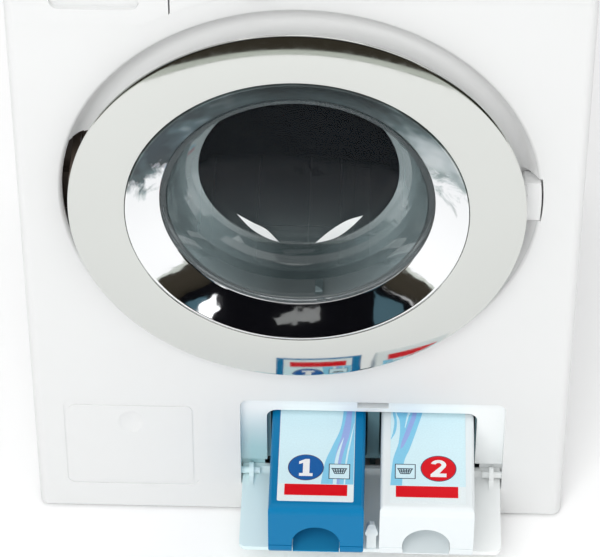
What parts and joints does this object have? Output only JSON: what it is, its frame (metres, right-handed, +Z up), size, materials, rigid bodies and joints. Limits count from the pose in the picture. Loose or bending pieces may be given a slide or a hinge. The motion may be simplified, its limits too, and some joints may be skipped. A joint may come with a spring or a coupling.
{
  "type": "toy washing machine",
  "caption": "Front-loading toy washing machine with a chromed round door, turning drum, detergent drawer, controls, and a fold-down flap with sliding cartridges.",
  "frame": {"origin": "middle of the bounding box's base, on the surface the feet stand on", "axes": "+Z up, the front faces -Y, the control panel's drawer is at -X"},
  "size_m": [0.1864, 0.2212, 0.26],
  "materials": {
    "white_plastic": "smooth injection-moulded white plastic, semi-gloss",
    "grey_plastic": "light grey moulded plastic",
    "dark_plastic": "charcoal moulded plastic",
    "brown_plastic": "dark brown moulded plastic of the hinge pocket",
    "chrome": "vacuum-chromed plastic, mirror finish",
    "clear_plastic": "clear moulded plastic, slightly blue",
    "drum_plastic": "dark slate plastic, smooth",
    "blue_plastic": "blue moulded plastic, satin",
    "cartridge_white": "white moulded plastic with a faint cyan cast, satin",
    "label_print": "printed paper label, pale cyan with ribbons and a number disc",
    "gear_plastic": "natural acetal",
    "steel": "zinc-plated steel",
    "brass": "sintered bronze",
    "rubber": "soft grey rubber",
    "board_green": "printed circuit board",
    "battery_jacket": "shrink-film battery jacket",
    "wire_red": "wire insulation",
    "window_dark": "smoked display window"
  },
  "bodies": {
    "cabinet": {"cabinet_shell": "white_plastic", "front_panel": "white_plastic", "control_panel": "white_plastic", "top_lid": "white_plastic", "rear_cover": "white_plastic", "base_plate": "white_plastic", "feet": "rubber", "case_screws": "steel", "hinge_bracket": "brown_plastic", "door_hinge_pin": "steel", "door_seal": "rubber", "tub": "grey_plastic", "tub_screws": "steel", "drum_bush": "brass", "idler_axle": "steel", "motor": "steel", "motor_bracket": "grey_plastic", "drain_pipe": "grey_plastic", "drain_spigot": "grey_plastic", "battery_box": "dark_plastic", "batteries": "battery_jacket", "battery_contacts": "steel", "battery_door": "white_plastic", "battery_door_screw": "steel", "circuit_board": "board_green", "speaker": "dark_plastic", "wiring_loom": "wire_red", "drawer_housing": "grey_plastic", "selector_switch": "dark_plastic", "display_window": "window_dark", "button_board": "board_green", "cartridge_bay": "grey_plastic", "flap_catch": "grey_plastic"},
    "door": {"door_ring": "chrome", "window_cone": "chrome", "door_frame": "white_plastic", "window_bowl": "clear_plastic", "window_clamp": "white_plastic", "door_screws": "steel"},
    "drum": {"drum": "drum_plastic", "drum_shaft": "steel", "drum_gear": "gear_plastic"},
    "idler": {"idler_gear": "gear_plastic"},
    "pinion": {"motor_pinion": "gear_plastic", "motor_shaft": "steel"},
    "drawer": {"detergent_drawer": "white_plastic"},
    "selector": {"selector_knob": "chrome", "selector_shaft": "steel"},
    "start_key": {"button_start": "grey_plastic"},
    "spin_key": {"button_spin": "grey_plastic"},
    "temperature_key": {"button_temperature": "grey_plastic"},
    "flap": {"cartridge_flap": "white_plastic"},
    "cartridge_1": {"cartridge_1_body": "blue_plastic", "cartridge_1_cap": "blue_plastic", "cartridge_1_label": "label_print"},
    "cartridge_2": {"cartridge_2_body": "cartridge_white", "cartridge_2_cap": "cartridge_white", "cartridge_2_label": "label_print"},
    "drain_plug": {"drain_cap": "rubber"}
  },
  "joints": [
    {"name": "door_hinge", "type": "hinge", "parent": "cabinet", "child": "door", "pos_m": [-0.0835, -0.0634, 0.15], "axis": [0, 0, -1], "range_deg": [0, 95]},
    {"name": "drum_spin", "type": "hinge", "parent": "cabinet", "child": "drum", "pos_m": [-0.0008, -0.0094, 0.1498], "axis": [0, 1, 0], "continuous": true},
    {"name": "idler_spin", "type": "hinge", "parent": "cabinet", "child": "idler", "pos_m": [0.01795, 0.0516, 0.1173], "axis": [0, 1, 0], "continuous": true},
    {"name": "motor_spin", "type": "hinge", "parent": "cabinet", "child": "pinion", "pos_m": [0.03635, 0.0586, 0.1173], "axis": [0, 1, 0], "continuous": true},
    {"name": "drawer_slide", "type": "slide", "parent": "cabinet", "child": "drawer", "axis": [0, -1, 0], "range_m": [0, 0.045]},
    {"name": "selector_turn", "type": "hinge", "parent": "cabinet", "child": "selector", "pos_m": [-0.014, -0.0734, 0.2462], "axis": [0, 1, 0], "range_deg": [-150, 150]},
    {"name": "start_press", "type": "slide", "parent": "cabinet", "child": "start_key", "axis": [0, 1, 0], "range_m": [0, 0.001], "stiffness_N_per_m": 300, "springref_m": -0.003},
    {"name": "spin_press", "type": "slide", "parent": "cabinet", "child": "spin_key", "axis": [0, 1, 0], "range_m": [0, 0.001], "stiffness_N_per_m": 300, "springref_m": -0.003},
    {"name": "temperature_press", "type": "slide", "parent": "cabinet", "child": "temperature_key", "axis": [0, 1, 0], "range_m": [0, 0.001], "stiffness_N_per_m": 300, "springref_m": -0.003},
    {"name": "cartridge_1_slide", "type": "slide", "parent": "cabinet", "child": "cartridge_1", "axis": [0, 1, 0], "range_m": [0, 0.1021]},
    {"name": "cartridge_2_slide", "type": "slide", "parent": "cabinet", "child": "cartridge_2", "axis": [0, 1, 0], "range_m": [0, 0.1021]},
    {"name": "flap_hinge", "type": "hinge", "parent": "cabinet", "child": "flap", "pos_m": [0.0251, -0.066, 0.017], "axis": [-1, 0, 0], "range_deg": [0, 90]},
    {"name": "drain_pull", "type": "slide", "parent": "cabinet", "child": "drain_plug", "axis": [0, 1, 0], "range_m": [0, 0.008]}
  ],
  "couplings": [
    {"joint": "idler_spin", "follows": "drum_spin", "ratio": -4},
    {"joint": "motor_spin", "follows": "drum_spin", "ratio": 14.4},
    {"joint": "flap_hinge", "follows": "cartridge_1_slide", "rad_per_m": 15.384},
    {"joint": "cartridge_2_slide", "follows": "cartridge_1_slide", "ratio": 1}
  ]
}
